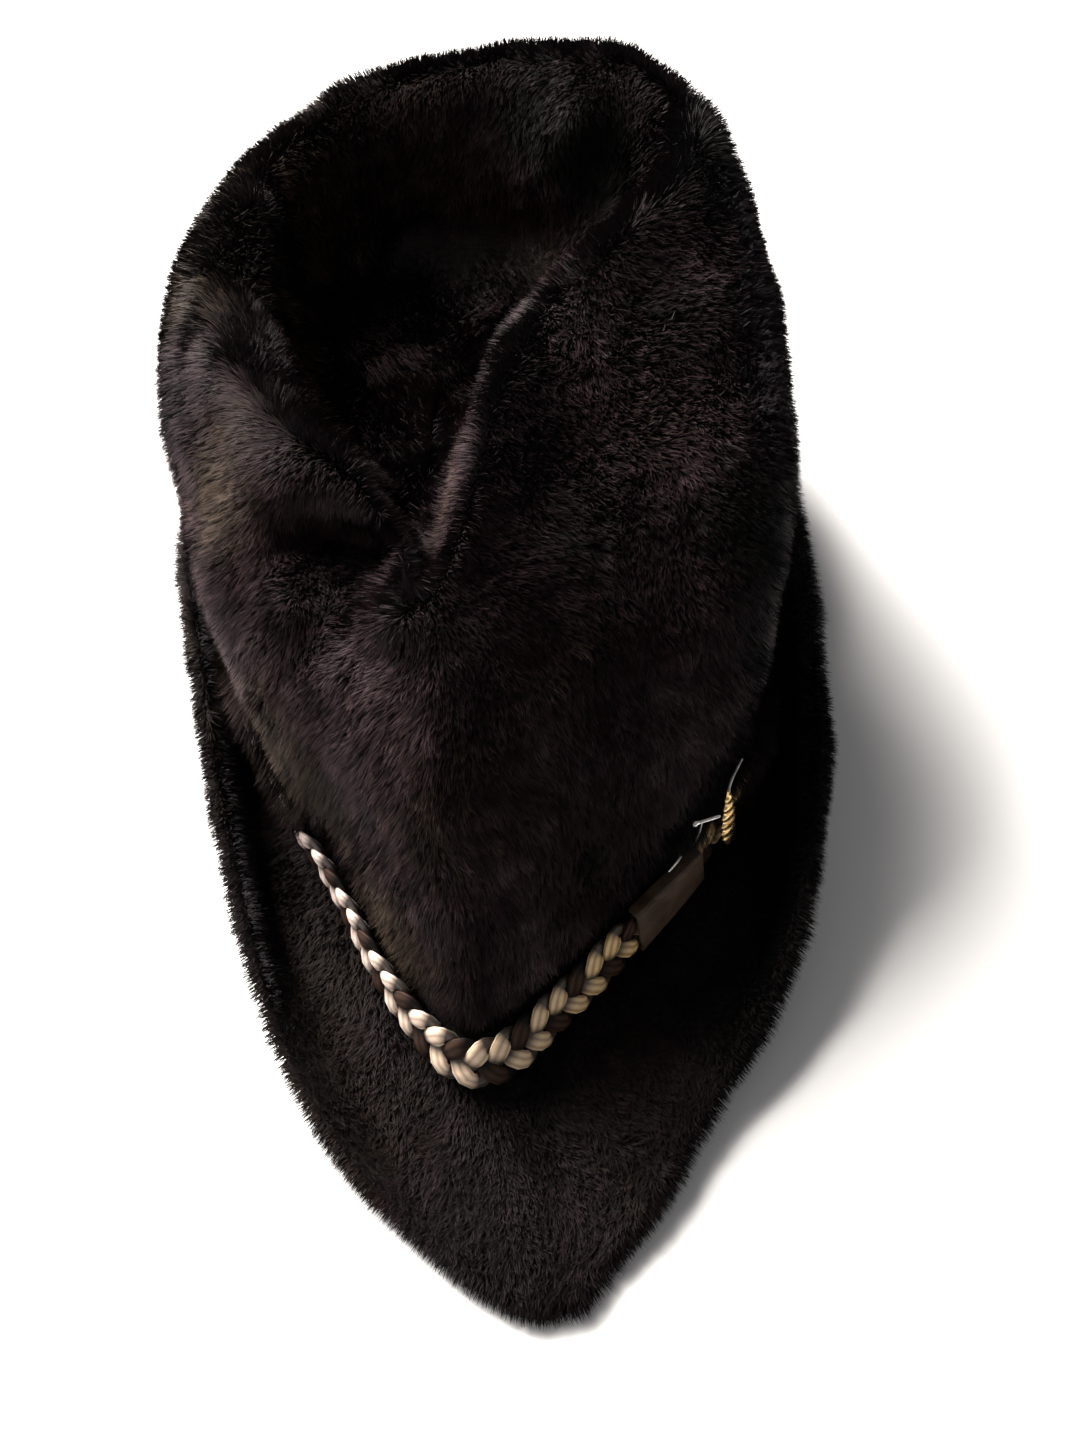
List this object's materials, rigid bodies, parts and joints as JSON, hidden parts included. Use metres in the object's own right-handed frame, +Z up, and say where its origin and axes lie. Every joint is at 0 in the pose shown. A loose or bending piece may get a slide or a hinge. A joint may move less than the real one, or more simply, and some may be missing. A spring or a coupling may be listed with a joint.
{
  "type": "soft fur fedora hat",
  "caption": "Soft fur hat with a deep teardrop dent in its crown, a brim that comes to a tip in front and rolls up at the sides and back, and a braided band with a keeper.",
  "frame": {"origin": "middle of the hat's bounding box on the floor that the brim rests on", "axes": "+Z up, +Y from the brim's front tip to the back, +X to the wearer's left"},
  "size_m": [0.1842, 0.3396, 0.1428],
  "materials": {
    "fur": "short dense dark brown fur pile, matt with a soft sheen",
    "braid": "flat braid of two gold thread strands and one dark brown strand",
    "leather": "smooth dark brown leather with a soft gloss",
    "gilt": "ribbed gilt metal, polished",
    "silver": "polished silver-coloured metal"
  },
  "bodies": {
    "root": {"crown": "fur", "brim": "fur", "braided_band": "braid", "keeper": "leather", "gilt_leaf": "gilt", "silver_pin": "silver"}
  },
  "joints": []
}
